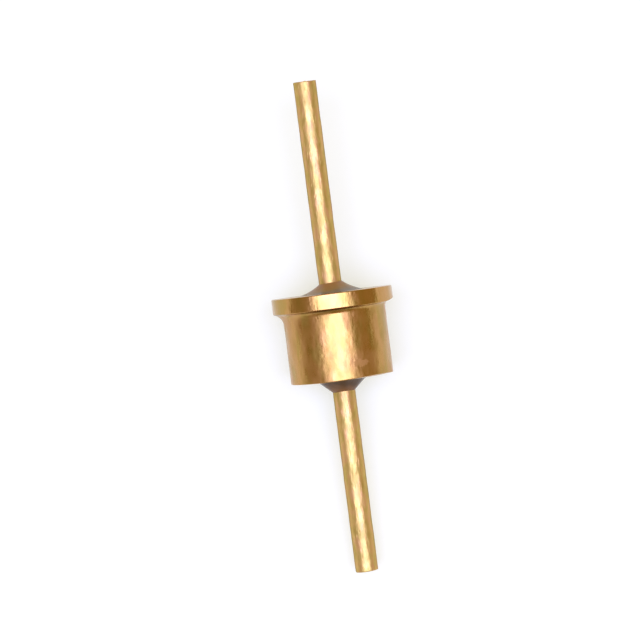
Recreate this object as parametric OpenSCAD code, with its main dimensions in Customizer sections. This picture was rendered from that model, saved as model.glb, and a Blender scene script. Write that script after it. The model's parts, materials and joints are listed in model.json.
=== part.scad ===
// Solder-in feedthrough filter: a turned and gold-plated can with a flange,
// one wire straight through it, a glass bead in the flange end and resin in
// the open end. A ferrite bead and a disc capacitor sit inside the can.
//
// Every piece is a revolve about one axis. It is drawn with that axis upright,
// z = 0 at the seat face under the flange, the flange above it and the can
// below it. laid_down() then lays the whole filter down as it comes to rest.

/* [Lead wire] */
// Diameter of the wire
lead_d = 0.75; // [0.5:0.05:0.9]
// Length of wire beyond the outer face of the flange
flange_lead_len = 7; // [3:0.5:15]
// Length of wire beyond the open end of the can
far_lead_len = 6.45; // [3:0.05:15]
// Edge left by the shears at both wire ends
lead_edge = 0.03; // [0.01:0.01:0.06]

/* [Can] */
// Diameter of the flange
flange_d = 4; // [3.8:0.1:6]
// Thickness of the flange
flange_t = 0.51; // [0.3:0.01:0.8]
// Outer diameter of the can below the flange
body_d = 3.4; // [2.9:0.1:3.7]
// Length of the can below the flange
body_len = 2.3; // [2.2:0.1:4]
// Thickness of the closed end, measured from the flange's outer face
end_wall = 0.55; // [0.4:0.01:0.7]
// Thickness of the can's side wall round the capacitor
side_wall = 0.28; // [0.2:0.02:0.32]
// Width of the ledge that the capacitor seats on
seat_ledge = 0.12; // [0.1:0.01:0.15]
// Radius of the tool nose left in the corner under the flange
neck_fillet = 0.24; // [0.05:0.01:0.25]
// Radius on the turned outer edges
edge_break = 0.03; // [0.01:0.01:0.08]
// Radius on the lip inside the open end
mouth_break = 0.05; // [0.01:0.01:0.08]

/* [Glass seal] */
// Diameter of the hole in the closed end, which the glass fills
seal_d = 2.1; // [1.6:0.02:2.3]
// Height that the glass climbs the wire
seal_rise = 0.35; // [0.2:0.01:0.45]
// Radius of the hollow curve on the glass
seal_curve = 1.8; // [1.5:0.05:4]

/* [Ferrite bead] */
// Length of the bead
bead_len = 0.7; // [0.5:0.05:0.8]
// Gap all round between the bead and the can
bead_case_gap = 0.05; // [0.02:0.01:0.1]
// Gap all round between the bead and the wire
bead_lead_gap = 0.055; // [0.02:0.005:0.1]
// Bevel on the bead's ends
bead_bevel = 0.05; // [0.02:0.01:0.1]

/* [Spacer washer] */
// Thickness of the insulating washer
washer_t = 0.1; // [0.05:0.01:0.15]

/* [Capacitor] */
// Thickness of the ceramic disc
cap_t = 0.75; // [0.5:0.05:0.8]
// Thickness of the silver bands on its rim and in its bore
band_t = 0.05; // [0.03:0.005:0.06]

/* [Solder] */
// Solder film between the capacitor's rim band and the can
rim_solder_gap = 0.06; // [0.03:0.005:0.08]
// Solder film between the capacitor's bore band and the wire
lead_solder_gap = 0.06; // [0.03:0.005:0.1]
// Radius of the solder fillets on the capacitor's open side
solder_fillet = 0.12; // [0.05:0.01:0.16]

/* [Resin] */
// Depth of the resin below the lip of the can
resin_recess = 0.1; // [0.1:0.01:0.3]
// Height that the resin climbs the wire, measured from the lip of the can
resin_rise = 0.4; // [0.2:0.01:0.5]
// Radius of the hollow curve on the resin
resin_curve = 1.2; // [1.1:0.05:2.5]
// Height that the resin climbs the can's wall
resin_wetting = 0.05; // [0.03:0.01:0.12]

/* [Hidden] */
$fn = 96;
past = 0.5;                                  // how far a cutting shape runs past what it cuts

// Radii from the axis outwards
lead_r = lead_d / 2;
flange_r = flange_d / 2;
body_r = body_d / 2;
seat_r = body_r - side_wall;                 // bore of the can round the capacitor
chamber_r = seat_r - seat_ledge;             // bore of the can round the bead
seal_r = min(seal_d / 2, chamber_r - seat_ledge);
bead_r = chamber_r - bead_case_gap;
bead_hole_r = lead_r + bead_lead_gap;
rim_band_r = seat_r - rim_solder_gap;
cap_r = rim_band_r - band_t;
bore_band_r = lead_r + lead_solder_gap;
cap_hole_r = bore_band_r + band_t;
neck_r = min(neck_fillet, 0.8 * (flange_r - body_r));
wetting_r = min(resin_wetting, resin_recess - mouth_break);

// Heights along the axis, from the flange end downwards
flange_face = flange_t;
flange_tip = flange_face + flange_lead_len;
inner_face = flange_face - end_wall;
bead_end = inner_face - bead_len;
washer_end = bead_end - washer_t;
cap_end = washer_end - cap_t;
lip = -body_len;
far_tip = lip - far_lead_len;

// At rest the filter lies on the rim of the flange and on the lip of the can,
// or on the end of the wire where a wide flange leaves that lower
lip_slope = (flange_r - body_r) / body_len;
wire_slope = (flange_r - lead_r) / (body_len + far_lead_len);
rest_tilt = atan(min(lip_slope, wire_slope));
rest_height = (flange_r - edge_break) * cos(rest_tilt) - edge_break * sin(rest_tilt) + edge_break;
rest_shift = -(flange_tip + far_tip) / 2 * cos(rest_tilt);

gold = "#e8c078";
smoked_glass = "#6b5a3c";
ferrite_grey = "#3a3a3c";
film_amber = "#c98a3a";
ceramic_tan = "#c9b48c";
silver = "#c8c8c4";
solder_grey = "#9a9c9e";
amber_resin = "#6f4a25";

// The filler of a square corner, hollowed to a radius. Added, it is a fillet in an inside corner.
// Taken away, it rounds an outside one. "into" points from the corner to the centre of the curve.
module corner_fill(corner, radius, into) {
    centre = corner + radius * into;
    difference() {
        translate([min(corner.x, centre.x), min(corner.y, centre.y)])
            square(radius);
        translate(centre)
            circle(radius);
    }
}

// A rectangle of the section from one radius to another and from one height to another
module band(inner, outer, low, high) {
    translate([inner, low])
        square([outer - inner, high - low]);
}

// Centre of the circle that draws a hollow between two points, on the hollow's open side.
// "foot" is the outer point, and "top" the one on the wire.
function hollow_centre(foot, top, radius) =
    let (
        chord = top - foot,
        across = [chord.y, -chord.x] / norm(chord),
        reach = sqrt(pow(radius, 2) - pow(norm(chord) / 2, 2))
    )
    (foot + top) / 2 + reach * across;

// Lays a piece down with the rest of the filter
module laid_down() {
    translate([rest_shift, 0, rest_height])
        rotate([0, 90 - rest_tilt, 0])
            children();
}

// Turned can: flange, stepped bore open at the far end, and a hole for the glass in the closed end
module case() {
    color(gold)
        laid_down()
            rotate_extrude()
                difference() {
                    union() {
                        band(seal_r, flange_r, 0, flange_face);
                        band(seal_r, body_r, lip, flange_face);
                        corner_fill([body_r, 0], neck_r, [1, -1]);
                    }
                    band(0, chamber_r, washer_end, inner_face);
                    band(0, seat_r, lip - past, washer_end);
                    corner_fill([flange_r, flange_face], edge_break, [-1, -1]);
                    corner_fill([flange_r, 0], edge_break, [-1, 1]);
                    corner_fill([body_r, lip], edge_break, [-1, 1]);
                    corner_fill([seat_r, lip], mouth_break, [1, 1]);
                }
}

// Straight through-wire with sheared ends
module lead() {
    color(gold)
        laid_down()
            rotate_extrude()
                difference() {
                    band(0, lead_r, far_tip, flange_tip);
                    corner_fill([lead_r, flange_tip], lead_edge, [-1, -1]);
                    corner_fill([lead_r, far_tip], lead_edge, [-1, 1]);
                }
}

// Glass bead fused into the closed end, hollowed where it climbs the wire
module glass_seal() {
    foot = [seal_r, flange_face];
    top = [lead_r, flange_face + seal_rise];
    color(smoked_glass)
        laid_down()
            rotate_extrude()
                difference() {
                    band(lead_r, seal_r, inner_face, top.y + past);
                    translate(hollow_centre(foot, top, seal_curve))
                        circle(seal_curve);
                }
}

// Ferrite bead, threaded on the wire against the closed end
module ferrite_bead() {
    color(ferrite_grey)
        laid_down()
            rotate_extrude()
                polygon([
                    [bead_hole_r, bead_end + bead_bevel],
                    [bead_hole_r + bead_bevel, bead_end],
                    [bead_r - bead_bevel, bead_end],
                    [bead_r, bead_end + bead_bevel],
                    [bead_r, inner_face - bead_bevel],
                    [bead_r - bead_bevel, inner_face],
                    [bead_hole_r + bead_bevel, inner_face],
                    [bead_hole_r, inner_face - bead_bevel]
                ]);
}

// Film washer that keeps the bead off the capacitor
module spacer_washer() {
    color(film_amber)
        laid_down()
            rotate_extrude()
                band(bead_hole_r, bead_r, washer_end, bead_end);
}

// Ceramic disc of the capacitor, between its two silver bands
module capacitor_body() {
    color(ceramic_tan)
        laid_down()
            rotate_extrude()
                band(cap_hole_r, cap_r, cap_end, washer_end);
}

// Silver fired onto the rim of the disc
module capacitor_rim_band() {
    color(silver)
        laid_down()
            rotate_extrude()
                band(cap_r, rim_band_r, cap_end, washer_end);
}

// Silver fired into the bore of the disc
module capacitor_bore_band() {
    color(silver)
        laid_down()
            rotate_extrude()
                band(bore_band_r, cap_hole_r, cap_end, washer_end);
}

// Section of the solder between the rim band and the can
module rim_solder_section() {
    band(rim_band_r, seat_r, cap_end, washer_end);
    corner_fill([seat_r, cap_end], solder_fillet, [-1, -1]);
}

// Section of the solder between the bore band and the wire
module lead_solder_section() {
    band(lead_r, bore_band_r, cap_end, washer_end);
    corner_fill([lead_r, cap_end], solder_fillet, [1, -1]);
}

// Solder ring that earths the capacitor to the can
module rim_solder() {
    color(solder_grey)
        laid_down()
            rotate_extrude()
                rim_solder_section();
}

// Solder ring that joins the capacitor to the wire
module lead_solder() {
    color(solder_grey)
        laid_down()
            rotate_extrude()
                lead_solder_section();
}

// Resin poured over the capacitor, its surface drawn up the wire and the wall
module resin_fill() {
    level = lip + resin_recess;
    climb = resin_recess + resin_rise;
    flat_from = lead_r + sqrt(pow(resin_curve, 2) - pow(resin_curve - climb, 2));
    color(amber_resin)
        laid_down()
            rotate_extrude() {
                difference() {
                    band(lead_r, seat_r, lip - resin_rise - past, cap_end);
                    translate([flat_from, level - resin_curve])
                        circle(resin_curve);
                    band(flat_from, flat_from + seat_r, lip - resin_rise - 2 * past, level);
                    rim_solder_section();
                    lead_solder_section();
                }
                corner_fill([seat_r, level], wetting_r, [-1, -1]);
            }
}

case();
lead();
glass_seal();
ferrite_bead();
spacer_washer();
capacitor_body();
capacitor_rim_band();
capacitor_bore_band();
rim_solder();
lead_solder();
resin_fill();
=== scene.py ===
"""Looks of a solder-in feedthrough filter: a gold-plated can on a straight wire, lying on white paper.

Every piece is a revolve about the wire. It is drawn with that axis along its own Z, z = 0 at the seat
face under the flange and the flange end upwards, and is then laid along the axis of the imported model.
Angles round the axis start at the side that the camera sees on its left, and 90 degrees faces it.
"""

import json
import logging
import math
from dataclasses import dataclass
from enum import Enum
from typing import Any, Callable

import bpy
import numpy as np
from mathutils import Euler, Matrix, Vector


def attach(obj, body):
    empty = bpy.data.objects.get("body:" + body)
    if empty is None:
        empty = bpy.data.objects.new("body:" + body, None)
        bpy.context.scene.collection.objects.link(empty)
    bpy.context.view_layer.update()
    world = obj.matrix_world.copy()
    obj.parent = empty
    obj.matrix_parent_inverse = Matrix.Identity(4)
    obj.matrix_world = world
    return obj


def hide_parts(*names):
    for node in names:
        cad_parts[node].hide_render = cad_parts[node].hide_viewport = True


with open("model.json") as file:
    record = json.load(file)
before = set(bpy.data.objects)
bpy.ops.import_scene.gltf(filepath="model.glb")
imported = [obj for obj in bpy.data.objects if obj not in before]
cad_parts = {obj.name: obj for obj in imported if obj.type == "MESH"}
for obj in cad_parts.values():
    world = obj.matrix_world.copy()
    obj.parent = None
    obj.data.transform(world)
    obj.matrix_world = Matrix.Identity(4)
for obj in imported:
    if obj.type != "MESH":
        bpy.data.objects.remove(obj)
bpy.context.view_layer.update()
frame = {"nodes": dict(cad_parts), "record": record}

LOG = logging.getLogger("filter")
MM = 0.001
MICRON = 0.000001
TOUCH = 2 * MICRON
SHARP = math.radians(35)
LEFT, FRONT, RIGHT = 0.0, math.radians(90), math.radians(180)

Point = tuple[float, float]
Loop = tuple[np.ndarray, np.ndarray, np.ndarray]
Moved = tuple[np.ndarray, np.ndarray]
Relief = Callable[[Loop], Moved]
Socket = bpy.types.NodeSocket


def linear(hex_colour: str) -> tuple[float, float, float, float]:
    """Turns an sRGB hex colour to linear values.

    Args:
        hex_colour: The colour as six hex digits after a "#".

    Returns:
        Linear red, green, blue and an alpha of 1.
    """
    parts = [int(hex_colour[i : i + 2], 16) / 255 for i in (1, 3, 5)]
    values = [p / 12.92 if p <= 0.04045 else ((p + 0.055) / 1.055) ** 2.4 for p in parts]
    return (*values, 1.0)


@dataclass(frozen=True)
class Side:
    """A side of a turned piece on which something is stronger.

    Its fields are the direction, how far round from there the effect ends, both in radians, and its share.
    """

    angle: float
    reach: float
    share: float = 1.0

    def at(self, around: np.ndarray) -> np.ndarray:
        """Gives the effect at each angle: its share in the direction, smoothly down to 0 at its reach.

        Args:
            around: Angles round the axis, in radians.

        Returns:
            The effect for each angle.
        """
        apart = np.abs((around - self.angle + math.pi) % (2 * math.pi) - math.pi)
        faded = 0.5 + 0.5 * np.cos(math.pi * apart / self.reach)
        return self.share * np.where(apart < self.reach, faded, 0.0)


@dataclass(frozen=True)
class Wave:
    """A swell that runs round a turned piece and winds along it.

    Its fields are the number of crests round the piece, the twist in radians to a millimetre of height,
    the phase in radians, and its share among the waves of the piece.
    """

    crests: int
    twist: float
    phase: float
    share: float

    def at(self, around: np.ndarray, in_mm: np.ndarray | float) -> np.ndarray:
        """Gives the swell at each angle, at a height in millimetres."""
        return self.share * np.sin(self.crests * around + self.twist * in_mm + self.phase)


# ---- the axis and the sizes of the frame


@dataclass(frozen=True)
class Axis:
    """The line that every piece is turned about, with its zero at the seat face of the flange."""

    origin: Vector
    along: Vector
    side: Vector
    up: Vector

    @classmethod
    def of_record(cls, record: dict[str, Any]) -> "Axis":
        """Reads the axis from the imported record's mounts.

        Args:
            record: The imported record.

        Returns:
            The axis, pointing out of the flange end, with "side" level and "up" square to both.
        """
        mounts = {m["name"]: m for m in record["mounts"]}
        barrel, seat = mounts["body_barrel"], mounts["flange_seat"]
        along = -Vector(barrel["axis"]).normalized()
        on_axis = Vector(barrel["pos_m"])
        origin = on_axis + along * (Vector(seat["pos_m"]) - on_axis).dot(along)
        side = Vector((0, 0, 1)).cross(along).normalized()
        return cls(origin, along, side, along.cross(side))

    def matrix(self) -> Matrix:
        """Gives the matrix from a piece's own coordinates to the frame's."""
        turn = Matrix((self.side, self.up, self.along)).transposed()
        return Matrix.Translation(self.origin) @ turn.to_4x4()


@dataclass(frozen=True)
class Span:
    """The radii and heights between which a CAD node lies, in metres, and those of its vertices."""

    inner: float
    outer: float
    low: float
    high: float
    rings: np.ndarray

    @classmethod
    def of_node(cls, name: str, axis: Axis) -> "Span":
        """Measures a CAD node about the axis.

        Args:
            name: The node's name.
            axis: The axis of the filter.

        Returns:
            Its least and greatest radius and height, and the radius and height of each vertex.
        """
        to_axis = axis.matrix().inverted()
        at = [to_axis @ v.co for v in frame["nodes"][name].data.vertices]
        rings = np.array([(math.hypot(p.x, p.y), p.z) for p in at])
        (inner, low), (outer, high) = rings.min(0), rings.max(0)
        return cls(float(inner), float(outer), float(low), float(high), rings)

    def radii_at(self, height: float) -> np.ndarray:
        """Gives the radii of the vertices that lie at a height."""
        return self.rings[np.abs(self.rings[:, 1] - height) < TOUCH, 0]


# ---- outlines and turned meshes


def line(start: Point, end: Point, steps: int = 1) -> list[Point]:
    """Gives the points of a straight stretch, its end left out for the next stretch to give.

    Args:
        start: Radius and height of the first point.
        end: Radius and height of the last point.
        steps: How many parts the stretch is cut in.

    Returns:
        The points from the start up to the one before the end.
    """
    first, way = np.array(start), np.array(end) - start
    return [tuple(first + way * i / steps) for i in range(steps)]


def arc(centre: Point, radius: float, start: float, end: float, steps: int = 7) -> list[Point]:
    """Gives the points of an arc, both ends included.

    Args:
        centre: Radius and height of the arc's centre.
        radius: The arc's radius.
        start: Angle of the first point, in degrees from straight outwards.
        end: Angle of the last point.
        steps: How many parts the arc is cut in.

    Returns:
        The points of the arc.
    """
    angles = [math.radians(start + (end - start) * i / steps) for i in range(steps + 1)]
    return [(centre[0] + radius * math.cos(a), centre[1] + radius * math.sin(a)) for a in angles]


@dataclass(frozen=True)
class Feed:
    """The spiral that a turning tool leaves, drawn as rings: its pitch and depth, in metres.

    Each groove is cut to its own share of the depth, and has a number of points across it. A real fine
    feed has half this pitch, too fine to show.
    """

    pitch: float
    depth: float
    seed: int
    points: int = 5
    shallowest: float = 0.25

    def cut(self, start: Point, end: Point) -> list[Point]:
        """Gives the points of a turned stretch, each groove cut into the metal on the left of the way.

        Args:
            start: Radius and height of the first point.
            end: Radius and height of the last point.

        Returns:
            The points after the start, up to the one before the end.
        """
        length = math.dist(start, end)
        way = (np.array(end) - start) / length
        inward = np.array((-way[1], way[0]))
        grooves = max(1, round(length / self.pitch))
        deep = np.random.default_rng(self.seed).uniform(self.shallowest, 1.0, grooves) * self.depth
        points = []
        for i in range(1, grooves * self.points):
            groove, part = divmod(i, self.points)
            dip = deep[groove] * math.sin(math.pi * part / self.points) ** 2
            points.append(tuple(start + way * length * i / (grooves * self.points) + inward * dip))
        return points


@dataclass(frozen=True)
class Turned:
    """A solid turned from an outline, which runs round the metal with the metal on its left.

    A relief gives the vertices of each ring new radii and heights.
    """

    name: str
    outline: list[Point]
    segments: int
    relief: Relief | None = None

    def mesh(self) -> bpy.types.Mesh:
        """Turns the outline about Z.

        Returns:
            A closed mesh, with a ring of vertices for each point of the outline.
        """
        rings, verts, faces = [], [], []
        around = np.arange(self.segments) * 2 * math.pi / self.segments
        for radius, height in self.outline:
            if radius < TOUCH:
                rings.append([len(verts)])
                verts.append((0.0, 0.0, float(height)))
                continue
            rings.append(list(range(len(verts), len(verts) + self.segments)))
            radii, heights = np.full(self.segments, radius), np.full(self.segments, height)
            if self.relief:
                radii, heights = self.relief((around, radii, heights))
            verts += np.stack((radii * np.cos(around), radii * np.sin(around), heights), 1).tolist()
        open_ended = len(rings[0]) == 1
        for i in range(len(rings) - open_ended):
            here, there = rings[i], rings[(i + 1) % len(rings)]
            for j in range(self.segments):
                k = (j + 1) % self.segments
                corners = [here[j % len(here)], here[k % len(here)]]
                corners += [there[k % len(there)], there[j % len(there)]]
                faces.append(tuple(dict.fromkeys(corners)))
        mesh = bpy.data.meshes.new(self.name)
        mesh.from_pydata(verts, [], faces)
        return mesh


def set_piece(shape: Turned, node: str, finish: "Finish", axis: Axis) -> bpy.types.Object:
    """Puts a turned shape in the scene in place of a CAD node.

    Args:
        shape: The shape, in its own coordinates.
        node: The CAD node that it stands for.
        finish: Its finish.
        axis: The axis that it is laid along.

    Returns:
        The new object, smooth but for the sharp corners of its outline.
    """
    mesh = shape.mesh()
    mesh.transform(axis.matrix())
    mesh.shade_smooth()
    mesh.set_sharp_from_angle(angle=SHARP)
    mesh.validate()
    mesh.materials.append(finish.material(axis))
    piece = bpy.data.objects.new(shape.name, mesh)
    bpy.context.scene.collection.objects.link(piece)
    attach(piece, "root")
    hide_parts(node)
    LOG.info("%s stands for %s: %d faces", piece.name, node, len(mesh.polygons))
    return piece


# ---- finishes


def add(
    tree: bpy.types.NodeTree,
    kind: str,
    links: dict[str | int, Any] | None = None,
    stops: list[tuple[float, str]] | None = None,
    **settings: Any,
) -> bpy.types.Node:
    """Adds a node with its settings and links.

    Args:
        tree: The node tree.
        kind: The node's type, without "ShaderNode".
        links: For each input, by name or number, the output that feeds it or the value that it takes.
        stops: For a colour ramp, the position and hex colour of each stop.
        **settings: The node's own properties.

    Returns:
        The new node.
    """
    node = tree.nodes.new("ShaderNode" + kind)
    for name, value in settings.items():
        setattr(node, name, value)
    for name, value in (links or {}).items():
        if isinstance(value, Socket):
            tree.links.new(value, node.inputs[name])
        else:
            node.inputs[name].default_value = value
    for i, (position, colour) in enumerate(stops or []):
        element = node.color_ramp.elements[i] if i < 2 else node.color_ramp.elements.new(position)
        element.position, element.color = position, linear(colour)
    return node


@dataclass(frozen=True)
class Change:
    """How one value follows another: where the other starts and ends, and the value at each."""

    start: float
    end: float
    first: float = 0.0
    last: float = 1.0

    def of(self, value: Socket) -> dict[str | int, Any]:
        """Gives the links with which a Map Range node follows a value."""
        limits = {"From Min": self.start, "From Max": self.end, "To Min": self.first, "To Max": self.last}
        return {"Value": value, **limits}


@dataclass(frozen=True)
class Draft:
    """A material that is being made: its nodes, its shader, and where each point lies about the axis."""

    material: bpy.types.Material
    tree: bpy.types.NodeTree
    shader: bpy.types.Node
    place: Socket


@dataclass(frozen=True)
class Finish:
    """What every finish shares: a name, and a Principled shader read in a piece's own coordinates."""

    name: str

    def start(self, axis: Axis) -> Draft:
        """Makes a material with only a Principled shader, and the coordinates about the axis.

        Args:
            axis: The axis of the filter.

        Returns:
            The draft of the material.
        """
        material = bpy.data.materials.new(self.name)
        material.use_nodes = True
        tree = material.node_tree
        point = add(tree, "TexCoord").outputs["Object"]
        laid = {"Vector": point, "Location": axis.origin, "Rotation": axis.matrix().to_euler()}
        place = add(tree, "Mapping", laid, vector_type="TEXTURE").outputs[0]
        return Draft(material, tree, tree.nodes["Principled BSDF"], place)

    def material(self, axis: Axis) -> bpy.types.Material:
        """Builds the material."""
        raise NotImplementedError


class Grain(Enum):
    """Which way the marks of the making run: the scale of a pattern across and along the axis."""

    ROUND = (0.12, 1.0)
    LONG = (1.0, 0.16)

    def scale(self, size: float) -> tuple[float, float, float]:
        """Gives the scale of a pattern of a real size, in metres, drawn out along the marks."""
        across, along = self.value
        return (across / size, across / size, along / size)


def spread(size: tuple[float, float]) -> tuple[float, float, float]:
    """Gives the scale of a pattern whose size across and along the axis is in metres."""
    across, along = size
    return (1 / across, 1 / across, 1 / along)


@dataclass(frozen=True)
class GoldPlate(Finish):
    """Satin gold plate on nickel over turned or drawn metal.

    Its hue shifts with its thickness: olive, tan and pink patches run through the gold. The plate
    follows the shallow dents and the marks of the metal below it, which break up the edges of a highlight.
    Tarnish dulls it where it turns away from the eye, by an edge tint that is white for a clean plate. On
    a face square to the axis the patterns are weaker, so that the turned rings show.

    A plate's real grain is a few micrometres across, and so are its dashes. Both are too fine to show and
    are drawn about ten times as coarse.
    """

    grain: Grain
    hues: tuple[str, str, str, str] = ("#ae8e4b", "#b68f4f", "#bc9155", "#bf925b")
    hue_stops: tuple[float, float, float, float] = (0.36, 0.46, 0.54, 0.66)
    patch: tuple[float, float] = (0.4 * MM, 1.0 * MM)
    edge_tint: str = "#ffffff"
    roughness: tuple[float, float] = (0.24, 0.40)
    dull_range: tuple[float, float] = (0.35, 0.65)
    dull_patch: tuple[float, float] = (0.3 * MM, 0.6 * MM)
    dent: tuple[float, float] = (0.16 * MM, 0.30 * MM)
    dent_depth: float = 10.0 * MICRON
    marks: float = 0.06 * MM
    mark_depth: float = 2.0 * MICRON
    dash: float = 0.05 * MM
    dash_depth: float = 1.3 * MICRON
    dash_peaks: Change = Change(0.66, 0.78)
    satin: float = 0.045 * MM
    satin_depth: float = 1.0 * MICRON
    square_on: Change = Change(0.6, 0.95, 1.0, 0.3)

    def patterns(self, draft: Draft) -> dict[str, Socket]:
        """Draws the plate's patterns, each a noise with its own scale and detail.

        Args:
            draft: The draft of the material.

        Returns:
            The value of each pattern, by name.
        """
        drawn = {}
        for name, scale, detail in (
            ("patches", spread(self.patch), 3.0),
            ("dullness", spread(self.dull_patch), 2.0),
            ("dents", spread(self.dent), 2.0),
            ("marks", self.grain.scale(self.marks), 2.0),
            ("dashes", self.grain.scale(self.dash), 1.0),
            ("satin", spread((self.satin, self.satin)), 4.0),
        ):
            scaled = add(draft.tree, "Mapping", {"Vector": draft.place, "Scale": scale}).outputs[0]
            noise = add(draft.tree, "TexNoise", {"Vector": scaled, "Scale": 1.0, "Detail": detail})
            drawn[name] = noise.outputs["Fac"]
        return drawn

    def relief(self, draft: Draft, axis: Axis, drawn: dict[str, Socket]) -> Socket:
        """Lays the dents, the marks, a few cut-in dashes and the satin grain over one another.

        Args:
            draft: The draft of the material.
            axis: The axis of the filter.
            drawn: The value of each pattern, by name.

        Returns:
            The normal of the surface.
        """
        tree = draft.tree
        normal = add(tree, "TexCoord").outputs["Normal"]
        lined_up = add(tree, "VectorMath", {0: normal, 1: axis.along}, operation="DOT_PRODUCT")
        square = add(tree, "Math", {0: lined_up.outputs["Value"]}, operation="ABSOLUTE").outputs[0]
        strength = add(tree, "MapRange", self.square_on.of(square)).outputs[0]
        dashes = add(tree, "MapRange", self.dash_peaks.of(drawn["dashes"])).outputs[0]
        surface = None
        for height, depth, cut_in in (
            (drawn["dents"], self.dent_depth, False),
            (drawn["marks"], self.mark_depth, False),
            (dashes, self.dash_depth, True),
            (drawn["satin"], self.satin_depth, False),
        ):
            links = {"Height": height, "Distance": depth, "Strength": strength}
            if surface:
                links["Normal"] = surface
            surface = add(tree, "Bump", links, invert=cut_in).outputs[0]
        return surface

    def wear(self, draft: Draft, hue: Socket, rough: Socket) -> tuple[Socket, Socket]:
        """Changes the hue and the roughness where a piece is worn. A plain plate has no wear."""
        return hue, rough

    def material(self, axis: Axis) -> bpy.types.Material:
        """Builds the material.

        Args:
            axis: The axis of the filter.

        Returns:
            A metal with patchy hue and roughness, and the relief of its making.
        """
        draft = self.start(axis)
        tree, shader, drawn = draft.tree, draft.shader, self.patterns(draft)
        stops = list(zip(self.hue_stops, self.hues))
        hue = add(tree, "ValToRGB", {"Fac": drawn["patches"]}, stops).outputs["Color"]
        dull = Change(*self.dull_range, *self.roughness)
        rough = add(tree, "MapRange", dull.of(drawn["dullness"])).outputs[0]
        hue, rough = self.wear(draft, hue, rough)
        tree.links.new(hue, shader.inputs["Base Color"])
        tree.links.new(rough, shader.inputs["Roughness"])
        tree.links.new(self.relief(draft, axis, drawn), shader.inputs["Normal"])
        shader.inputs["Metallic"].default_value = 1.0
        shader.inputs["Specular Tint"].default_value = linear(self.edge_tint)
        return draft.material


@dataclass(frozen=True)
class CanPlate(GoldPlate):
    """The can's plate, with the traces of its making and handling.

    The flange, handled by its rim, is smoother than the barrel. Painted shade darkens the front of the neck
    in a thin olive band just under the flange. Near the lip a ragged scuff is rougher than the plate round
    it, and looks pale beside the highlight and dull in it.
    """

    flange_gloss: Change = Change(-0.05 * MM, 0.0, 1.0, 0.62)
    # Painted shade: a dark olive band on the front of the neck, just under the flange, where the corner is
    # dark.
    painted_neck_shade: str = "#8a7340"
    painted_shade_from: Change = Change(-0.11 * MM, -0.05 * MM)
    painted_shade_to: Change = Change(-0.01 * MM, 0.0, 1.0, 0.0)
    painted_shade_front: Change = Change(1.45 * MM, 1.75 * MM)
    scuff: tuple[float, float, float] = (-0.66 * MM, 1.56 * MM, -1.83 * MM)
    scuff_shape: tuple[float, float, float] = (1.0, 1.0, 0.5)
    scuff_rag: float = 0.12 * MM
    scuff_reach: float = 0.7 * MM
    scuff_roughness: Change = Change(-0.16 * MM, -0.02 * MM, 0.66, 0.0)

    def wear(self, draft: Draft, hue: Socket, rough: Socket) -> tuple[Socket, Socket]:
        """Smooths the flange, paints shade on the front of the neck and scuffs the barrel.

        Args:
            draft: The draft of the material.
            hue: The plate's colour.
            rough: The plate's roughness.

        Returns:
            The worn plate's colour and roughness.
        """
        tree, place = draft.tree, draft.place
        parts = add(tree, "SeparateXYZ", {0: place}).outputs
        gloss = add(tree, "MapRange", self.flange_gloss.of(parts["Z"])).outputs[0]
        rough = add(tree, "Math", {0: rough, 1: gloss}, operation="MULTIPLY").outputs[0]
        laid = {"Vector": place, "Location": self.scuff, "Scale": self.scuff_shape}
        from_scuff = add(tree, "Mapping", laid, vector_type="TEXTURE").outputs[0]
        near = add(tree, "VectorMath", {0: from_scuff}, operation="LENGTH").outputs["Value"]
        rag = add(tree, "TexNoise", {"Vector": place, "Scale": 1 / self.scuff_rag, "Detail": 3.0})
        ragged = {0: rag.outputs["Fac"], 1: -self.scuff_reach, 2: near}
        edge = add(tree, "Math", ragged, operation="MULTIPLY_ADD").outputs[0]
        worn = add(tree, "MapRange", self.scuff_roughness.of(edge)).outputs[0]
        rough = add(tree, "Math", {0: rough, 1: worn}, operation="MAXIMUM").outputs[0]
        # Painted shade: the front of the neck just under the flange is mixed towards the dark olive colour.
        painted_shade_share = 1.0
        for limit, part in ((self.painted_shade_from, "Z"), (self.painted_shade_to, "Z"), (self.painted_shade_front, "Y")):
            share = add(tree, "MapRange", limit.of(parts[part])).outputs[0]
            painted_shade_share = add(tree, "Math", {0: painted_shade_share, 1: share}, operation="MULTIPLY").outputs[0]
        # A Mix node takes its factor and two colours at inputs 0, 6 and 7, and gives a colour at output 2.
        hue = add(tree, "Mix", {0: painted_shade_share, 6: hue, 7: linear(self.painted_neck_shade)}, data_type="RGBA").outputs[2]
        return hue, rough


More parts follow.
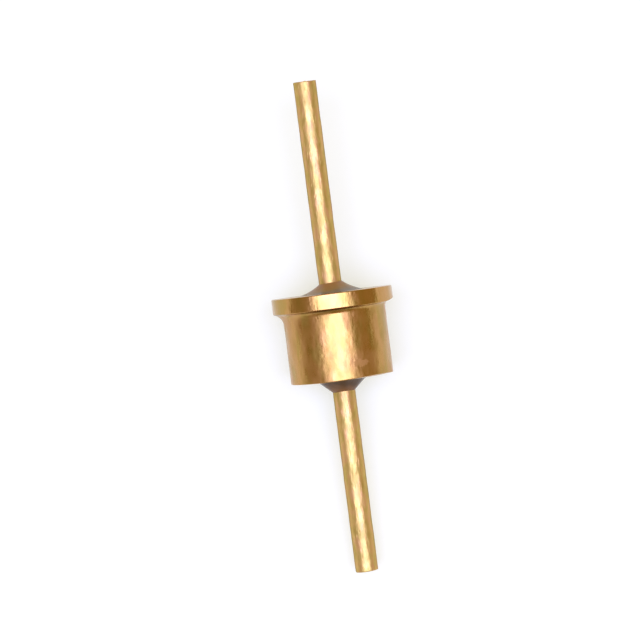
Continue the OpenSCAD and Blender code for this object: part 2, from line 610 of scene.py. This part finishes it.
@dataclass(frozen=True)
class Fillet(Finish):
    """Glossy glass or resin drawn up round the wire.

    It is drawn by colour: warm where it is thin against the wire, smoky where it is deep, and warmer and
    lighter on the left than on the right, where a glow of light is painted in.
    """

    thin: str
    middle: str
    deep: str
    wire_radius: float
    foot_radius: float
    roughness: float = 0.3
    ior: float = 1.52
    gloss: float = 0.1
    stops: tuple[float, float, float] = (0.1, 0.5, 0.9)
    depth: tuple[float, float] = (-0.25, 0.75)
    # Painted light: how much warmer and lighter the left side is drawn, as a painted glow.
    painted_glow_side: float = 0.25
    cloud: float = 0.25 * MM
    cloud_share: float = 0.5
    ripple_depth: float = 3.0 * MICRON

    def material(self, axis: Axis) -> bpy.types.Material:
        """Builds the material.

        Args:
            axis: The axis of the filter.

        Returns:
            A glossy dark material that warms towards the wire.
        """
        draft = self.start(axis)
        tree, place, shader = draft.tree, draft.place, draft.shader
        level = add(tree, "VectorMath", {0: place, 1: (1, 1, 0)}, operation="MULTIPLY").outputs[0]
        radius = add(tree, "VectorMath", {0: level}, operation="LENGTH").outputs["Value"]
        noise = add(tree, "TexNoise", {"Vector": place, "Scale": 1 / self.cloud, "Detail": 3.0})
        clouds = noise.outputs["Fac"]
        depth = Change(self.wire_radius, self.foot_radius, *self.depth)
        deep = add(tree, "MapRange", depth.of(radius)).outputs[0]
        across = add(tree, "SeparateXYZ", {0: place}).outputs["X"]
        # Painted light: the left side is drawn nearer the thin, warm colour, as a painted glow.
        painted_glow_slope = -self.painted_glow_side / self.foot_radius
        for value, factor in ((clouds, self.cloud_share), (across, painted_glow_slope)):
            deep = add(tree, "Math", {0: value, 1: factor, 2: deep}, operation="MULTIPLY_ADD").outputs[0]
        stops = list(zip(self.stops, (self.thin, self.middle, self.deep)))
        colour = add(tree, "ValToRGB", {"Fac": deep}, stops).outputs["Color"]
        ripple = add(tree, "Bump", {"Height": clouds, "Distance": self.ripple_depth}).outputs[0]
        tree.links.new(colour, shader.inputs["Base Color"])
        tree.links.new(ripple, shader.inputs["Normal"])
        shader.inputs["Roughness"].default_value = self.roughness
        shader.inputs["IOR"].default_value = self.ior
        shader.inputs["Specular IOR Level"].default_value = self.gloss
        return draft.material


@dataclass(frozen=True)
class Grained(Finish):
    """A plain material with a grain of its own, such as a pressed and fired powder or a rough metal."""

    light: str
    dark: str
    grain: float
    depth: float
    roughness: float
    metallic: float = 0.0
    stops: tuple[float, float] = (0.3, 0.7)

    def material(self, axis: Axis) -> bpy.types.Material:
        """Builds the material.

        Args:
            axis: The axis of the filter.

        Returns:
            A material with mottled colour and a grainy surface.
        """
        draft = self.start(axis)
        tree, shader = draft.tree, draft.shader
        grained = {"Vector": draft.place, "Scale": 1 / self.grain, "Detail": 5.0, "Roughness": 0.65}
        grains = add(tree, "TexNoise", grained).outputs["Fac"]
        colour = add(tree, "ValToRGB", {"Fac": grains}, list(zip(self.stops, (self.dark, self.light))))
        relief = add(tree, "Bump", {"Height": grains, "Distance": self.depth})
        tree.links.new(colour.outputs["Color"], shader.inputs["Base Color"])
        tree.links.new(relief.outputs[0], shader.inputs["Normal"])
        shader.inputs["Roughness"].default_value = self.roughness
        shader.inputs["Metallic"].default_value = self.metallic
        return draft.material


# Gold over nickel on turned brass: bright, with a satin sheen and marks that run round.
CAN_FINISH = CanPlate("satin_gold_plate_on_turned_metal", Grain.ROUND)

# Gold over nickel on drawn wire: paler and duller, with marks that run along and deeper dents.
WIRE_FINISH = GoldPlate(
    "dull_gold_plate_on_drawn_wire",
    Grain.LONG,
    hues=("#ceb468", "#d7ba70", "#ddba75", "#e1b67e"),
    patch=(0.15 * MM, 0.38 * MM),
    edge_tint="#5c6c94",
    roughness=(0.42, 0.55),
    dent=(0.12 * MM, 0.28 * MM),
    dent_depth=18 * MICRON,
    marks=0.05 * MM,
    mark_depth=3.5 * MICRON,
    dash=0.06 * MM,
    dash_depth=5 * MICRON,
    satin_depth=1.5 * MICRON,
)

# The five below are inside the closed can. Their real grains are a few micrometres across, too fine to
# show, and are drawn coarser.
# Pressed and sintered ferrite: charcoal, matt and grainy.
FERRITE = Grained("sintered_ferrite", "#4a4a4c", "#2c2c2e", 0.05 * MM, 3 * MICRON, 0.55)
# Polyimide film: amber, smooth and glossy, with hardly a grain.
FILM = Grained("amber_polyimide_film", "#c98a3a", "#b87628", 0.3 * MM, 0.5 * MICRON, 0.25)
# Fired capacitor ceramic: tan and matt.
TITANATE = Grained("sintered_barium_titanate", "#cdb88f", "#bda67c", 0.04 * MM, 2 * MICRON, 0.6)
# Silver paste after firing: a pale metal with a soft sheen.
SILVER = Grained("fired_silver_paste", "#d6d6d2", "#b8b8b2", 0.03 * MM, 2 * MICRON, 0.45, 1.0)
# Solder after reflow: a grey metal, fairly bright.
SOLDER = Grained("reflowed_solder", "#b4b6b8", "#8e9092", 0.08 * MM, 2 * MICRON, 0.3, 1.0)


# ---- the pieces


@dataclass
class Can:
    """The turned and plated can: its flange, its barrel and its stepped bore.

    Its wear follows the angle round the axis. The flange is thinned on the right and flattened in front,
    and the fillet under it is larger on the left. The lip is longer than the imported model's, and shortest
    between the right and the front.
    """

    axis: Axis
    case: Span
    seal: Span
    disc: Span
    resin: Span
    barrel: dict[str, Any]
    mouth_break: float = 0.05 * MM
    barrel_feed: Feed = Feed(0.052 * MM, 0.7 * MICRON, 3)
    rim_feed: Feed = Feed(0.045 * MM, 0.5 * MICRON, 5)
    face_feed: Feed = Feed(0.06 * MM, 1.0 * MICRON, 7, 4)
    skin: float = 0.2 * MM
    waves: tuple[Wave, ...] = (Wave(5, 2.0, 0.4, 1.0), Wave(8, -3.1, 2.0, 0.7), Wave(13, 4.7, 1.0, 0.5))
    swell: float = 7 * MICRON
    swell_inset: float = 0.5
    flat: float = 0.045 * MM
    flat_side: Side = Side(FRONT + 0.04, 0.63)
    neck_sides: tuple[Side, ...] = (Side(LEFT, 1.3, 0.5), Side(RIGHT, 1.9, -0.4), Side(FRONT, 1.2, -0.2))
    neck_inset: float = 0.03 * MM
    thinned: float = 0.085 * MM
    thinned_sides: tuple[Side, ...] = (Side(RIGHT, 0.55), Side(RIGHT, 1.1, 0.3))
    thinned_above: float = -0.2 * MM
    thinned_below: float = 0.3 * MM
    thinned_curve: float = 1.5
    long_lip: float = 0.04 * MM
    short_lip: float = 0.035 * MM
    short_side: Side = Side((RIGHT + FRONT) / 2, 1.0)
    lip_band: float = 0.3 * MM

    def outline(self) -> list[Point]:
        """Draws the can's section, from the mouth of the bore outwards and up.

        Returns:
            The closed section.
        """
        flange, body = self.case.outer, self.barrel["dims"]["r_mm"] * MM
        face, lip = self.case.high, self.case.low - self.long_lip
        to_axis = self.axis.matrix().inverted()
        middle = (to_axis @ Vector(self.barrel["pos_m"])).z
        half = self.barrel["dims"]["length_mm"] * MM / 2
        neck, edge = -(middle + half), middle - half - self.case.low
        bore, hole = self.resin.outer, self.seal.outer
        chamber = self.case.radii_at(self.disc.high).min()
        mouth, back = self.mouth_break, self.seal.low
        return [
            *arc((bore + mouth, lip + mouth), mouth, 180, 270),
            *arc((body - edge, lip + edge), edge, 270, 360),
            *self.barrel_feed.cut((body, lip + edge), (body, -neck)),
            *arc((body + neck, -neck), neck, 180, 90, steps=14),
            *arc((flange - edge, edge), edge, 270, 360),
            *self.rim_feed.cut((flange, edge), (flange, face - edge)),
            *arc((flange - edge, face - edge), edge, 0, 90),
            *self.face_feed.cut((flange - edge, face), (hole, face)),
            *line((hole, face), (hole, back), steps=2),
            *line((hole, back), (chamber, back), steps=2),
            *line((chamber, back), (chamber, self.disc.high), steps=2),
            *line((chamber, self.disc.high), (bore, self.disc.high)),
            *line((bore, self.disc.high), (bore, lip + mouth), steps=4),
        ]

    def wear(self, loop: Loop) -> Moved:
        """Gives the outside its uneven turning, and wears the flange and the lip.

        Args:
            loop: The angles, radii and heights of a ring of vertices.

        Returns:
            The new radii and heights.
        """
        around, radii, heights = loop
        body, rim = self.barrel["dims"]["r_mm"] * MM, self.case.outer
        radius, height = radii[0], heights[0]
        if radius < body - self.skin:
            return radii, heights
        swing = sum(wave.at(around, height / MM) for wave in self.waves)
        most = sum(wave.share for wave in self.waves)
        radii = radii + (swing - most - self.swell_inset) * self.swell / most
        if height > MICRON:
            radii = radii - self.flat * self.flat_side.at(around)
        if height < 0 and radius > body + MICRON:
            size = 1 + sum(side.at(around) for side in self.neck_sides)
            radii = np.minimum(body + (radii - body) * size, rim - self.neck_inset)
            heights = heights * size
        if height > self.thinned_above:
            outwards = max(0.0, min(1.0, (radius - body) / (rim - body))) ** self.thinned_curve
            fading = max(0.0, 1 - height / self.thinned_below)
            thinned = sum(side.at(around) for side in self.thinned_sides)
            heights = heights + self.thinned * thinned * outwards * fading
        near_lip = max(0.0, 1 - (height - self.case.low) / self.lip_band)
        return radii, heights + self.short_lip * self.short_side.at(around) * near_lip

    def build(self) -> bpy.types.Object:
        """Turns, dresses and places the can."""
        shape = Turned("turned_can", self.outline(), segments=240, relief=self.wear)
        return set_piece(shape, "case", CAN_FINISH, self.axis)


@dataclass
class Wire:
    """The straight wire through the can, sheared at both ends.

    The lines that a die leaves are far finer than these, which are drawn coarse enough to show.
    """

    axis: Axis
    span: Span
    edge: float = 0.03 * MM
    upper_slant: float = math.tan(math.radians(3.2))
    lower_slant: float = math.tan(math.radians(1.7))
    steps: int = 260
    lumps: tuple[Wave, ...] = (Wave(3, 5.1, 0.0, 1.0), Wave(2, -3.3, 1.0, 0.8), Wave(5, 8.9, 2.0, 0.5))
    lump_depth: float = 2.0 * MICRON
    lines: int = 17
    line_wander: float = 0.8
    line_wind: float = 0.7
    fine_lines: Wave = Wave(29, -0.5, 0.0, 0.6)
    line_depth: float = 0.5 * MICRON

    def outline(self) -> list[Point]:
        """Draws the wire's section from the middle of its far end to the middle of its flange end.

        Returns:
            The section, with both of its ends on the axis.
        """
        radius, low, high = self.span.outer, self.span.low, self.span.high
        inside = radius - self.edge
        return [
            *line((0.0, low), (inside, low), steps=4),
            *arc((inside, low + self.edge), self.edge, 270, 360, steps=5),
            *line((radius, low + self.edge), (radius, high - self.edge), self.steps)[1:],
            *arc((inside, high - self.edge), self.edge, 0, 90, steps=5),
            *line((inside, high), (0.0, high), steps=4)[1:],
            (0.0, high),
        ]

    def drawing(self, loop: Loop) -> Moved:
        """Gives the wire its shallow lumps, the lines that the die leaves, and the slant of its cuts.

        Args:
            loop: The angles, radii and heights of a ring of vertices.

        Returns:
            The new radii and heights.
        """
        around, radii, heights = loop
        full, low, high = self.span.outer, self.span.low, self.span.high
        in_mm = heights / MM
        if radii[0] > full - self.edge / 2:
            lumps = sum(wave.at(around, in_mm) for wave in self.lumps)
            lines = np.sin(self.lines * around + self.line_wander * np.sin(self.line_wind * in_mm))
            below = lines + self.fine_lines.at(around, in_mm) - 1 - self.fine_lines.share
            radii = radii + lumps * self.lump_depth + below * self.line_depth
        across, forth = radii * np.cos(around), radii * np.sin(around)
        upper = np.clip((heights - high) / (2 * self.edge) + 1, 0, 1)
        lower = np.clip((low - heights) / (2 * self.edge) + 1, 0, 1)
        drop, lift = (full + forth) * self.upper_slant, (full - across) * self.lower_slant
        return radii, heights - drop * upper + lift * lower

    def build(self) -> bpy.types.Object:
        """Turns, shears, dresses and places the wire."""
        shape = Turned("drawn_wire", self.outline(), segments=96, relief=self.drawing)
        return set_piece(shape, "lead", WIRE_FINISH, self.axis)


@dataclass
class GlassSeal:
    """The glass fused into the closed end, hollowed where it climbs the wire."""

    axis: Axis
    span: Span
    case: Span
    curve: float = 1.8 * MM
    lean: float = 0.022 * MM
    waver: Wave = Wave(3, 0.0, 1.0, 0.3)

    def outline(self) -> list[Point]:
        """Draws the glass, from its inner end outwards and up.

        Returns:
            The closed section.
        """
        wire, hole, low = self.span.inner, self.span.outer, self.span.low
        foot, top = np.array((hole, self.case.high)), np.array((wire, self.span.high))
        chord = top - foot
        reach = math.sqrt(self.curve**2 - chord @ chord / 4)
        centre = (foot + top) / 2 + reach * np.array((chord[1], -chord[0])) / np.hypot(*chord)
        start, end = [math.degrees(math.atan2(*(p - centre)[::-1])) % 360 for p in (foot, top)]
        return [
            *line((wire, low), (hole, low), steps=2),
            *line((hole, low), tuple(foot), steps=2),
            *arc(tuple(centre), self.curve, start, end, steps=24),
            *line(tuple(top), (wire, low), steps=2)[1:],
        ]

    def climb(self, loop: Loop) -> Moved:
        """Lets the glass climb the wire a little less high on the left than on the right.

        Args:
            loop: The angles, radii and heights of a ring of vertices.

        Returns:
            The radii and the new heights.
        """
        around, radii, heights = loop
        share = np.clip((heights - self.case.high) / (self.span.high - self.case.high), 0, 1)
        uneven = 1 + np.cos(around) + self.waver.at(around, 0.0)
        return radii, heights - self.lean * share * uneven

    def build(self) -> bpy.types.Object:
        """Turns, dresses and places the glass.

        Returns:
            The new object.
        """
        # Fused sealing glass is clear and smoky: a warm brown where it is thin, greyer where it is deep.
        hues = ("#a87e46", "#a6864c", "#8e846c")
        finish = Fillet("fused_smoky_sealing_glass", *hues, self.span.inner, self.span.outer)
        shape = Turned("glass_bead_seal", self.outline(), segments=128, relief=self.climb)
        return set_piece(shape, "glass_seal", finish, self.axis)


@dataclass
class ResinFill:
    """The resin poured into the open end, drawn up the wire and a little up the wall."""

    axis: Axis
    span: Span
    case: Span
    disc: Span
    recess: float = 0.06 * MM
    curve: float = 1.2 * MM
    wetting: float = 0.05 * MM
    solder_fillet: float = 0.12 * MM
    reach: float = 0.055 * MM
    waver: float = 0.12
    fullness: float = 0.055 * MM
    left_fuller: float = 0.2
    foot: float = 0.95 * MM
    roughness: float = 0.22

    def outline(self) -> list[Point]:
        """Draws the resin, from the wire outwards to the wall and back over the capacitor.

        Returns:
            The closed section.
        """
        wire, wall, back = self.span.inner, self.span.outer, self.disc.low
        level, climb = self.case.low + self.recess, self.case.low + self.recess - self.span.low
        flat_from = wire + math.sqrt(self.curve**2 - (self.curve - climb) ** 2)
        centre = (flat_from, level - self.curve)
        start = math.degrees(math.atan2(self.span.low - centre[1], wire - centre[0]))
        filled = self.solder_fillet
        return [
            *arc(centre, self.curve, start, 90, steps=28),
            *arc((wall - self.wetting, level - self.wetting), self.wetting, 90, 0, steps=6),
            *line((wall, level - self.wetting), (wall, back - filled), steps=3)[1:],
            *arc((wall - filled, back - filled), filled, 0, 90, steps=6),
            *line((wall - filled, back), (wire + filled, back), steps=3)[1:],
            *arc((wire + filled, back - filled), filled, 90, 180, steps=6),
            *line((wire, back - filled), (wire, self.span.low), steps=3)[1:],
        ]

    def climb(self, loop: Loop) -> Moved:
        """Lets the resin reach further down the wire and rounds it out, both most towards the left.

        Args:
            loop: The angles, radii and heights of a ring of vertices.

        Returns:
            The new radii and heights.
        """
        around, radii, heights = loop
        share = np.clip((self.case.low - heights) / (self.case.low - self.span.low), 0, 1)
        swollen = 4 * share * (1 - share) * (1 + self.left_fuller * np.cos(around))
        uneven = 1 + self.waver * np.cos(around) + self.waver * np.sin(3 * around)
        return radii + self.fullness * swollen, heights - self.reach * share * uneven

    def build(self) -> bpy.types.Object:
        """Turns, dresses and places the resin.

        Returns:
            The new object.
        """
        # Cured epoxy is a dark amber brown, glossier than the glass and warmer against the wire.
        hues = ("#82603a", "#5c4830", "#64543e")
        finish = Fillet("cured_dark_amber_epoxy", *hues, self.span.inner, self.foot, self.roughness)
        shape = Turned("epoxy_fill", self.outline(), segments=128, relief=self.climb)
        return set_piece(shape, "resin_fill", finish, self.axis)


@dataclass
class Ring:
    """One of the plain rings inside the can, with its edges broken."""

    axis: Axis
    node: str
    name: str
    slot: str
    span: Span
    finish: Grained
    edge: float
    arc_steps: int

    def outline(self) -> list[Point]:
        """Draws the ring with rounded edges, or bevelled ones where the arc has one step.

        Returns:
            The closed section.
        """
        inside, outside = self.span.inner + self.edge, self.span.outer - self.edge
        bottom, top = self.span.low + self.edge, self.span.high - self.edge
        corners = {270: (outside, bottom), 0: (outside, top), 90: (inside, top), 180: (inside, bottom)}
        steps = self.arc_steps
        return [p for start, at in corners.items() for p in arc(at, self.edge, start, start + 90, steps)]

    def build(self) -> bpy.types.Object:
        """Turns, dresses and places the ring."""
        shape = Turned(self.name, self.outline(), segments=96)
        return set_piece(shape, self.node, self.finish, self.axis)


@dataclass
class SolderRing:
    """Solder that fills the gap beside a silver band and ends in a hollow fillet."""

    axis: Axis
    node: str
    name: str
    span: Span
    disc: Span
    wall_is_outside: bool
    fillet: float = 0.12 * MM

    def outline(self) -> list[Point]:
        """Draws the film between band and wall, and the fillet on the wall's side.

        Returns:
            The closed section.
        """
        low, high, reach = self.disc.low, self.disc.high, self.fillet
        band = self.span.radii_at(high)
        if self.wall_is_outside:
            wall, band = self.span.outer, float(band.min())
            return [
                *line((band, high), (band, low), steps=3),
                (band, low),
                *arc((wall - reach, low - reach), reach, 90, 0, steps=6),
                *line((wall, low - reach), (wall, high), steps=4)[1:],
                *line((wall, high), (band, high)),
            ]
        wall, band = self.span.inner, float(band.max())
        return [
            *line((band, low), (band, high), steps=3),
            *line((band, high), (wall, high)),
            *line((wall, high), (wall, low - reach), steps=4),
            *arc((wall + reach, low - reach), reach, 180, 90, steps=6),
        ]

    def build(self) -> bpy.types.Object:
        """Turns, dresses and places the solder."""
        shape = Turned(self.name, self.outline(), segments=96)
        return set_piece(shape, self.node, SOLDER, self.axis)


# ---- the studio


@dataclass(frozen=True)
class SoftBox:
    """A soft box over the filter, full in the middle of its width and fading to its ends.

    It is shorter along the filter than across it. It leans towards the wire's far end, so that the flange
    doesn't shade the barrel, and a little to one side.
    """

    length: float = 0.19
    half_width: float = 0.24
    full: float = 0.3
    radiance: float = 4.4
    colour: tuple[float, float, float] = (0.90, 0.96, 1.68)
    distance: float = 0.3
    tilt: float = math.radians(9)
    aside: float = math.radians(1.5)

    def build(self) -> None:
        """Hangs the box, out of the camera's sight."""
        lamp = bpy.data.lights.new("soft_box", "AREA")
        lamp.shape, lamp.color = "RECTANGLE", self.colour
        lamp.size, lamp.size_y = self.length, 2 * self.half_width
        lamp.energy = self.radiance * math.pi * lamp.size * lamp.size_y
        lamp.use_nodes = True
        tree = lamp.node_tree
        across = add(tree, "SeparateXYZ", {0: add(tree, "NewGeometry").outputs["Parametric"]}).outputs["Y"]
        off = add(tree, "Math", {0: across, 1: 0.5}, operation="SUBTRACT").outputs[0]
        far = add(tree, "Math", {0: off}, operation="ABSOLUTE").outputs[0]
        fading = Change(self.full / 2, 0.5, 1.0, 0.0)
        fade = add(tree, "MapRange", fading.of(far), interpolation_type="SMOOTHSTEP").outputs[0]
        tree.links.new(fade, tree.nodes["Emission"].inputs["Strength"])
        turn = Euler((-self.aside, -self.tilt, 0))
        box = bpy.data.objects.new("soft_box", lamp)
        box.location = turn.to_matrix() @ Vector((0, 0, self.distance))
        box.rotation_euler = turn
        box.visible_camera = False
        bpy.context.scene.collection.objects.link(box)


@dataclass
class Studio:
    """White paper, a soft box over the filter, a warm dim room and the camera."""

    axis: Axis
    paper_rings: tuple[float, ...] = (0.02, 0.06, 0.2, 0.5, 1.2)
    paper_steps: int = 96
    paper: str = "#bcbfbc"
    lift: float = 0.5
    lift_colour: tuple[float, float, float] = (1.0, 1.04, 0.86)
    left_wall: tuple[float, float, float] = (0.46, 0.36, 0.22)
    right_wall: tuple[float, float, float] = (0.48, 0.355, 0.155)
    soft_box: SoftBox = SoftBox()
    lean: float = math.radians(7.317)
    rise: float = math.radians(1.5)
    distance: float = 79 * MM
    lens: float = 135.1
    sensor: float = 36.0
    clip: tuple[float, float] = (0.005, 10.0)
    aim: tuple[float, float] = (-0.342 * MM, -0.487 * MM)

    def sheet(self) -> bpy.types.Object:
        """Lays the round sheet of paper, in rings that widen outwards.

        Returns:
            The sheet.
        """
        steps, rings = self.paper_steps, self.paper_rings
        around = [i * 2 * math.pi / steps for i in range(steps)]
        verts = [(0.0, 0.0, 0.0)] + [(r * math.cos(a), r * math.sin(a), 0.0) for r in rings for a in around]
        faces = [(0, 1 + j, 1 + (j + 1) % steps) for j in range(steps)]
        for base in range(1, 1 + steps * (len(rings) - 1), steps):
            for j in range(steps):
                k = (j + 1) % steps
                faces.append((base + j, base + steps + j, base + steps + k, base + k))
        mesh = bpy.data.meshes.new("paper_sheet")
        mesh.from_pydata(verts, [], faces)
        mesh.materials.append(self.paper_material())
        sheet = bpy.data.objects.new("paper_sheet", mesh)
        bpy.context.scene.collection.objects.link(sheet)
        return sheet

    def paper_material(self) -> bpy.types.Material:
        """Builds the matt white paper, lifted to white for what looks at it or mirrors it.

        Returns:
            The material.
        """
        # Matt paper has no gloss, so that only the filter's soft shadow shows on it.
        material = bpy.data.materials.new("matt_white_paper")
        material.use_nodes = True
        tree = material.node_tree
        shader = tree.nodes["Principled BSDF"]
        path = add(tree, "LightPath").outputs
        seen = path["Is Camera Ray"]
        for ray in ("Is Glossy Ray", "Is Transmission Ray"):
            seen = add(tree, "Math", {0: seen, 1: path[ray]}, operation="MAXIMUM").outputs[0]
        lift = add(tree, "Math", {0: seen, 1: self.lift}, operation="MULTIPLY")
        shader.inputs["Base Color"].default_value = linear(self.paper)
        shader.inputs["Roughness"].default_value = 0.9
        shader.inputs["Specular IOR Level"].default_value = 0.0
        shader.inputs["Emission Color"].default_value = (*self.lift_colour, 1)
        tree.links.new(lift.outputs[0], shader.inputs["Emission Strength"])
        return material

    def light(self) -> None:
        """Hangs the soft box over the filter and sets the warm dim room round it."""
        self.soft_box.build()
        world = bpy.data.worlds.new("warm_dim_room")
        bpy.context.scene.world = world
        world.use_nodes = True
        tree = world.node_tree
        side = add(tree, "SeparateXYZ", {0: add(tree, "TexCoord").outputs["Generated"]}).outputs["Y"]
        share = add(tree, "MapRange", Change(-0.5, 0.5).of(side)).outputs[0]
        walls = {0: share, 6: (*self.right_wall, 1), 7: (*self.left_wall, 1)}
        room = add(tree, "Mix", walls, data_type="RGBA").outputs[2]
        tree.links.new(room, tree.nodes["Background"].inputs["Color"])

    def camera(self) -> bpy.types.Object:
        """Sets the camera over the filter, turned so that the wire leans.

        Returns:
            The camera.
        """
        back = math.cos(self.rise) * self.axis.up + math.sin(self.rise) * self.axis.along
        upright = (self.axis.along - back * self.axis.along.dot(back)).normalized()
        right = upright.cross(back)
        up = math.cos(self.lean) * upright + math.sin(self.lean) * right
        across = math.cos(self.lean) * right - math.sin(self.lean) * upright
        along, aside = self.aim
        place = self.axis.origin + self.axis.along * along + right * aside + back * self.distance
        camera = bpy.data.objects.new("camera", bpy.data.cameras.new("camera"))
        camera.data.lens, camera.data.sensor_width = self.lens, self.sensor
        camera.data.clip_start, camera.data.clip_end = self.clip
        camera.matrix_world = Matrix.Translation(place) @ Matrix((across, up, back)).transposed().to_4x4()
        bpy.context.scene.collection.objects.link(camera)
        bpy.context.scene.camera = camera
        return camera

    def build(self) -> None:
        """Builds the camera, the paper and the light."""
        self.camera()
        self.sheet()
        self.light()
        bpy.context.scene.view_settings.view_transform = "Standard"


def main() -> None:
    """Builds the studio and every piece of the filter."""
    logging.basicConfig(level=logging.INFO, format="%(name)s: %(message)s")
    record = frame["record"]
    axis = Axis.of_record(record)
    span = {name: Span.of_node(name, axis) for name in frame["nodes"]}
    barrel = next(m for m in record["mounts"] if m["name"] == "body_barrel")
    case, disc = span["case"], span["capacitor_body"]
    Studio(axis).build()

    Can(axis, case, span["glass_seal"], disc, span["resin_fill"], barrel).build()
    Wire(axis, span["lead"]).build()
    GlassSeal(axis, span["glass_seal"], case).build()
    ResinFill(axis, span["resin_fill"], case, disc).build()

    for node, name, slot, finish, edge, arc_steps in (
        ("ferrite_bead", "ferrite_bead_body", "ferrite", FERRITE, 0.05 * MM, 1),
        ("spacer_washer", "film_washer", "film", FILM, 0.005 * MM, 3),
        ("capacitor_body", "ceramic_disc", "capacitor_ceramic", TITANATE, 0.005 * MM, 3),
        ("capacitor_rim_band", "silver_rim", "fired_silver", SILVER, 0.005 * MM, 3),
        ("capacitor_bore_band", "silver_bore", "fired_silver", SILVER, 0.005 * MM, 3),
    ):
        Ring(axis, node, name, slot, span[node], finish, edge, arc_steps).build()
    SolderRing(axis, "rim_solder", "solder_at_the_wall", span["rim_solder"], disc, True).build()
    SolderRing(axis, "lead_solder", "solder_at_the_wire", span["lead_solder"], disc, False).build()


if __name__ == "__main__":
    main()
